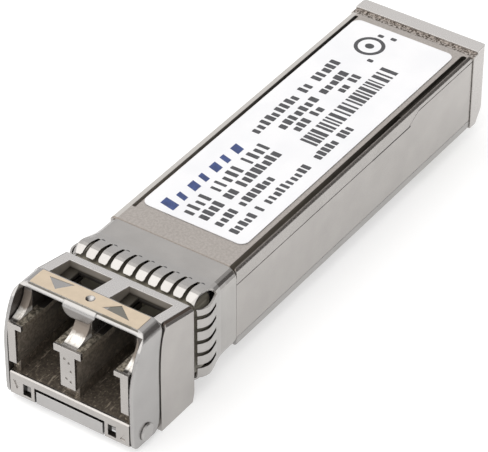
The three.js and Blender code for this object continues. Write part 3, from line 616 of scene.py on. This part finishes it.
materials = {
    "zinc_top": metal("zinc_top", ZINC, 0.24, inner=bright_tops, cast=cast_skin),
    "zinc_base": metal("zinc_base", ZINC, 0.22, inner=port_shade_and_grime),
    "sheet": metal("sheet", SHEET, 0.24, brushed=(3.0, 0.2, 3.0)),
    "bail": metal("bail_sheet", BAIL_SHEET, 0.2, bevel=0.18, inner=bail_shade),
    "spring": metal("spring_sheet", SPRING_SHEET, 0.18, bevel=0.04),
    "steel": metal("turned_steel", TURNED_STEEL, 0.22, brushed=(0.3, 3.0, 3.0)),
    "latch": metal("latch_plate", LATCH_PLATE, 0.26),
    "barrel": metal("barrel_steel", BARREL_STEEL, 0.3, brushed=(3.0, 0.3, 3.0)),
    "gold": metal("gold_plate", GOLD, 0.22, grain=14.0),
    "coat": coat_paint(),
    "label": label_film(),
    "ink": ink("ink_grey", (0.045, 0.045, 0.05)),
    "blue": ink("ink_blue", (0.022, 0.045, 0.16)),
    "board": solder_mask(),
    "chip": plain("chip_epoxy", (0.028, 0.03, 0.034), 0.5, grain=12.0, depth=0.02),
    "ceramic": plain("zirconia", (0.80, 0.78, 0.72), 0.25, depth=0.003),
    "tan": plain("ceramic_tan", (0.45, 0.30, 0.15), 0.5),
    "flex": plain("polyimide", (0.48, 0.20, 0.03), 0.3, depth=0.004),
    "pad": plain("gap_pad", (0.30, 0.40, 0.48), 0.8, depth=0.03),
    "clamp": plain("moulded_black", (0.035, 0.035, 0.037), 0.45, depth=0.02),
}

# A CAD node gets the material of its record slot, apart from these.
OWN_LOOK = {
    "top_casting": "zinc_top",
    "base_casting": "zinc_base",
    "bail": "bail",
    "latch_lever": "latch",
    "transmitter_barrel": "barrel",
    "receiver_barrel": "barrel",
}
slot_of = {part["node"]: part["material_slot"] for part in frame["record"]["subparts"]}
for name, node in nodes.items():
    material = materials[OWN_LOOK.get(name, slot_of[name])]
    if node.material_slots:
        for slot in node.material_slots:
            slot.material = material
    else:
        node.data.materials.append(material)


# ---------------------------------------------------------------- printed label marks
LABEL_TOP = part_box("label")[1].z / MM
INK_BOTTOM = LABEL_TOP + 0.002
INK_TOP = LABEL_TOP + 0.010

# Lines of print: x from and to, y from and to, signs in each word, how much of its room a sign fills.
PRINT_LINES = (
    (-2.0, -0.7, 19.3, 31.9, (4, 5, 4), 0.5),
    (-0.4, 0.75, 19.4, 31.4, (4, 2, 8), 0.74),
    (1.35, 2.3, 19.4, 28.1, (4, 7), 0.72),
    (3.05, 4.0, 19.3, 31.3, (5, 1, 10), 0.66),
    (3.05, 4.0, 32.5, 38.4, (5, 3), 0.7),
    (-3.8, -2.75, 32.6, 46.6, (9, 2, 5), 0.68),
    (-2.1, -1.15, 34.5, 45.5, (7, 5), 0.72),
    (-0.85, 0.1, 35.0, 39.4, (3, 2), 0.72),
    (-0.85, 0.1, 42.4, 45.7, (2, 2), 0.7),
)
WORD_GAP = 0.9
STRIPE_X = (0.78, 2.58)
STRIPE_Y = (34.0, 48.1)
STRIPE_WIDTHS = (0.2, 0.26, 0.34, 0.5)
STRIPE_GAPS = (0.18, 0.2, 0.28, 0.4)
RING_CENTRE = (-2.05, 50.2)
RING_RADII = (1.12, 1.5)
DOT = (-2.5, -1.6, 49.8, 50.6)
SHORT_BARS = ((-2.05, 52.2), (-0.75, 52.4), (-0.7, 48.2))
SHORT_BAR_HALF = (0.3, 0.22)
BLUE_X = (-4.15, -2.55)
BLUE_START = 18.95
BLUE_PITCH = 1.68
BLUE_COUNT = 7
BLUE_SLANT = 0.3


def corner(mesh, x, y, z):
    """A vertex from millimetres, y from the front face."""
    return mesh.verts.new((x * MM, (y + FRONT) * MM, z * MM))


def prism(mesh, outline):
    """A flat ink mark from its outline, as a closed thin body."""
    low = [corner(mesh, x, y, INK_BOTTOM) for x, y in outline]
    top = [corner(mesh, x, y, INK_TOP) for x, y in outline]
    mesh.faces.new(list(reversed(low)))
    mesh.faces.new(top)
    for i in range(len(outline)):
        j = (i + 1) % len(outline)
        mesh.faces.new((low[i], low[j], top[j], top[i]))


def slab(mesh, x0, x1, y0, y1, radius, steps):
    """One flat rectangular mark with rounded corners."""
    radius = min(radius, (x1 - x0) / 2.01, (y1 - y0) / 2.01)
    centres = (
        (x1 - radius, y1 - radius, 0),
        (x0 + radius, y1 - radius, 90),
        (x0 + radius, y0 + radius, 180),
        (x1 - radius, y0 + radius, 270),
    )
    outline = []
    for x, y, start in centres:
        for i in range(steps + 1):
            turn = math.radians(start + 90 * i / steps)
            outline.append((x + radius * math.cos(turn), y + radius * math.sin(turn)))
    prism(mesh, outline)


def ring_mark(mesh, centre, radii, heights, steps, start=0.0, end=360.0):
    """A flat arc or full ring, as a closed thin body."""
    x, y = centre
    inner, outer = radii
    bottom, top = heights
    full = end - start >= 360
    count = steps if full else steps + 1
    section = ((inner, bottom), (outer, bottom), (outer, top), (inner, top))
    rows = []
    for i in range(count):
        turn = math.radians(start + (end - start) * i / steps)
        cosine, sine = math.cos(turn), math.sin(turn)
        rows.append([corner(mesh, x + r * cosine, y + r * sine, z) for r, z in section])
    for i in range(count if full else count - 1):
        here, there = rows[i], rows[(i + 1) % count]
        for k in range(4):
            mesh.faces.new((here[k], there[k], there[(k + 1) % 4], here[(k + 1) % 4]))
    if not full:
        mesh.faces.new(rows[0])
        mesh.faces.new(list(reversed(rows[-1])))


def piece(name, mesh, material, body):
    """Makes a named piece of the mesh, with a material and on a body."""
    bmesh.ops.remove_doubles(mesh, verts=mesh.verts, dist=1e-8)
    bmesh.ops.recalc_face_normals(mesh, faces=mesh.faces)
    data = bpy.data.meshes.new(name)
    mesh.to_mesh(data)
    mesh.free()
    data.materials.append(material)
    made = bpy.data.objects.new(name, data)
    bpy.context.scene.collection.objects.link(made)
    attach(made, body)


def blank_print(mesh, x0, x1, y0, y1, words, weight):
    """A line of print as blank blocks: one small block per sign, grouped in words."""
    pitch = (y1 - y0) / (sum(words) + WORD_GAP * (len(words) - 1))
    y = y0
    for signs in words:
        for _ in range(signs):
            wide = pitch * draws.uniform(weight - 0.12, weight + 0.1)
            cut = draws.choice((0.0, 0.0, 0.16, 0.24)) * (x1 - x0)
            slab(mesh, x0 + cut, x1, y, y + wide, 0.08, 3)
            y += pitch
        y += WORD_GAP * pitch


def label_print():
    """Blank print, a stripe pattern, a plain ring with a dot, three short bars, and slanted blue strokes."""
    dark = bmesh.new()
    for line in PRINT_LINES:
        blank_print(dark, *line)
    y, end = STRIPE_Y
    while y < end:
        wide = draws.choice(STRIPE_WIDTHS)
        slab(dark, *STRIPE_X, y, y + wide, 0.0, 1)
        y += wide + draws.choice(STRIPE_GAPS)
    ring_mark(dark, RING_CENTRE, RING_RADII, (INK_BOTTOM, INK_TOP), 44)
    slab(dark, *DOT, 0.4, 6)
    half_x, half_y = SHORT_BAR_HALF
    for x, y in SHORT_BARS:
        slab(dark, x - half_x, x + half_x, y - half_y, y + half_y, 0.12, 3)
    piece("label_print", dark, materials["ink"], "module")

    blue = bmesh.new()
    left, right = BLUE_X
    for i in range(BLUE_COUNT):
        y = BLUE_START + BLUE_PITCH * i
        end = left + (0.0 if i == 0 else 0.5)
        wide = 0.62 if i % 2 else 0.95
        prism(blue, [(right, y), (right, y + wide), (end, y + wide + BLUE_SLANT), (end, y + BLUE_SLANT)])
    piece("label_print_blue", blue, materials["blue"], "module")


def collar_pit_shades():
    """Small black hooks beside the end of each upper finger slot, as painted shade in the pits there."""
    mesh = bmesh.new()
    z = BODY_TOP + COLLAR_RISE
    heights = (z - NICK_DEPTH, z + NICK_PROUD)
    for i in range(-4, 5):
        centre = (i * FINGER_PITCH + NICK_SHIFT, FINGER_SLOT_END)
        ring_mark(mesh, centre, NICK_RADII, heights, 10, *NICK_TURNS)
    piece("collar_pit_shade", mesh, materials["clamp"], "module")


def latch_leaf():
    """The bowed leaf spring, as its own copy of the CAD part on the module body; the real spring flattens
    against the channel roof as the lever rocks, and this copy keeps its bowed shape.
    """
    leaf = bpy.data.objects.new("latch_leaf", nodes["latch_spring"].data.copy())
    bpy.context.scene.collection.objects.link(leaf)
    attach(leaf, "module")
    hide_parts("latch_spring")
    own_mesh(leaf)


label_print()
collar_pit_shades()
latch_leaf()


# ---------------------------------------------------------------- stage, light, camera
FLOOR_GAP = 0.00002
FLOOR_HALF = 0.9
FLOOR_CELLS = 24
CAMERA_TURN = (34.05, 37.83, 0.40)  # azimuth, elevation and roll in degrees
CAMERA_PLACE = (120.72, -152.08, 170.70)  # millimetres, y from the front face


def floor():
    """A flat white floor just under the whole object."""
    z = cad_lo.z - FLOOR_GAP
    mesh = bmesh.new()
    steps = [FLOOR_HALF * (2 * i / FLOOR_CELLS - 1) for i in range(FLOOR_CELLS + 1)]
    grid = [[mesh.verts.new((x, y, z)) for y in steps] for x in steps]
    for i in range(FLOOR_CELLS):
        for j in range(FLOOR_CELLS):
            mesh.faces.new((grid[i][j], grid[i + 1][j], grid[i + 1][j + 1], grid[i][j + 1]))
    data = bpy.data.meshes.new("floor")
    mesh.to_mesh(data)
    mesh.free()
    skin = Skin("floor_white")
    colour = skin.mix(skin.noise(0.02, 3.0, 0.5), (0.56, 0.56, 0.56), (0.58, 0.58, 0.58))
    data.materials.append(skin.surface(colour, 0.9))
    skin.shader.inputs["Emission Color"].default_value = (1.0, 1.0, 1.0, 1.0)
    skin.shader.inputs["Emission Strength"].default_value = 0.5
    skin.shader.inputs["Specular IOR Level"].default_value = 0.1
    made = bpy.data.objects.new("floor", data)
    bpy.context.scene.collection.objects.link(made)


def sky():
    """Soft studio dome: pale walls, a broad bright panel high at the front left, a dark flag back right."""
    world = bpy.data.worlds.new("studio")
    bpy.context.scene.world = world
    world.use_nodes = True
    graph = Graph(world.node_tree)
    output = graph.node("OutputWorld")
    background = graph.node("Background")
    graph.link(background.outputs[0], output.inputs[0])
    direction = graph.node("TexCoord").outputs["Generated"]

    def lobe(towards, inner, outer):
        """1 within inner degrees of a direction, 0 beyond outer."""
        cosine = graph.dot(direction, tuple(Vector(towards).normalized()))
        return graph.remap(cosine, math.cos(math.radians(outer)), math.cos(math.radians(inner)))

    colour = graph.mix(lobe((0, 0, 1), 20, 95), (0.82, 0.82, 0.83), (0.98, 0.97, 0.96))
    colour = graph.mix(lobe((-0.35, -0.45, 0.85), 30, 52), colour, (2.1, 2.08, 2.05))
    colour = graph.mix(lobe((0.64, 0.62, 0.45), 20, 36), colour, (0.17, 0.16, 0.155))
    graph.link(colour, background.inputs[0])
    background.inputs[1].default_value = 1.0


def camera():
    """A long lens from the front right, above the object."""
    data = bpy.data.cameras.new("camera")
    made = bpy.data.objects.new("camera", data)
    bpy.context.scene.collection.objects.link(made)
    azimuth, elevation, roll = (math.radians(degrees) for degrees in CAMERA_TURN)
    flat = math.cos(elevation)
    ahead = Vector((-math.sin(azimuth) * flat, math.cos(azimuth) * flat, -math.sin(elevation)))
    x, y, z = CAMERA_PLACE
    made.location = Vector((x, y + FRONT, z)) * MM
    made.rotation_mode = "QUATERNION"
    turn = ahead.to_track_quat("-Z", "Y").to_matrix() @ Matrix.Rotation(roll, 3, "Z")
    made.rotation_quaternion = turn.to_quaternion()
    data.sensor_width = 36.0
    data.lens = 224.0
    data.shift_x = -0.00375
    data.shift_y = -0.0034
    data.clip_start = 0.01
    data.clip_end = 5.0
    bpy.context.scene.camera = made


floor()
sky()
camera()
bpy.context.scene.view_settings.view_transform = "Standard"
